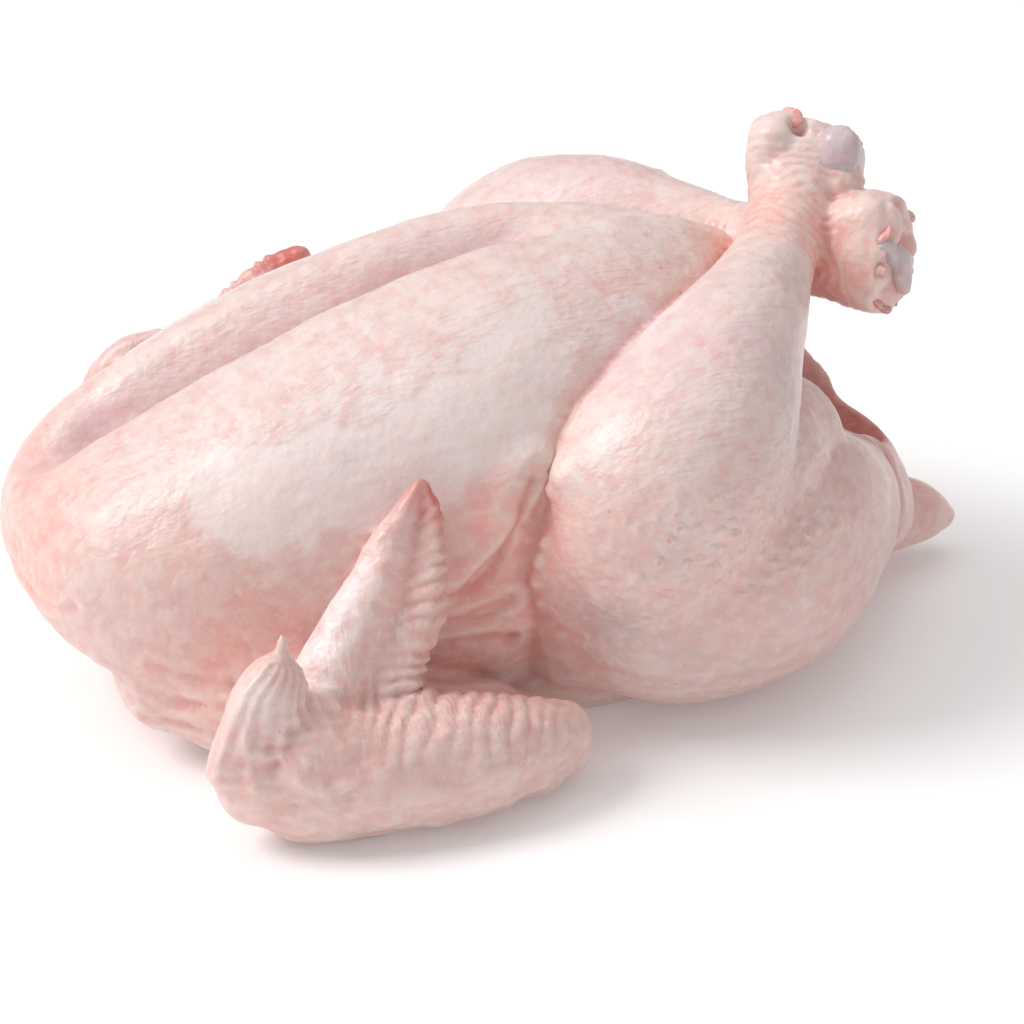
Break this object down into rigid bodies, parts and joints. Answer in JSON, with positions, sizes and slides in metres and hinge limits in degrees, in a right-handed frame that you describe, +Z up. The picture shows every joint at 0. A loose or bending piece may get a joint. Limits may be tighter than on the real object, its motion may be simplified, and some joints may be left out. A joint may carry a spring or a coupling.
{
  "type": "whole raw chicken",
  "caption": "Whole raw chicken, plucked and dressed, lying on its back with its drumsticks crossed, its wings folded beside it and the vent open between the thighs.",
  "frame": {"origin": "middle of the underside of the bounding box, on the surface the bird rests on", "axes": "+X from the neck end to the tail, +Y towards the bird's far side, whose wing lies further out, +Z up"},
  "size_m": [0.2554, 0.2142, 0.1283],
  "materials": {
    "skin": "moist raw poultry skin, satin with soft highlights"
  },
  "bodies": {
    "root": {"chicken": "skin"}
  },
  "joints": []
}
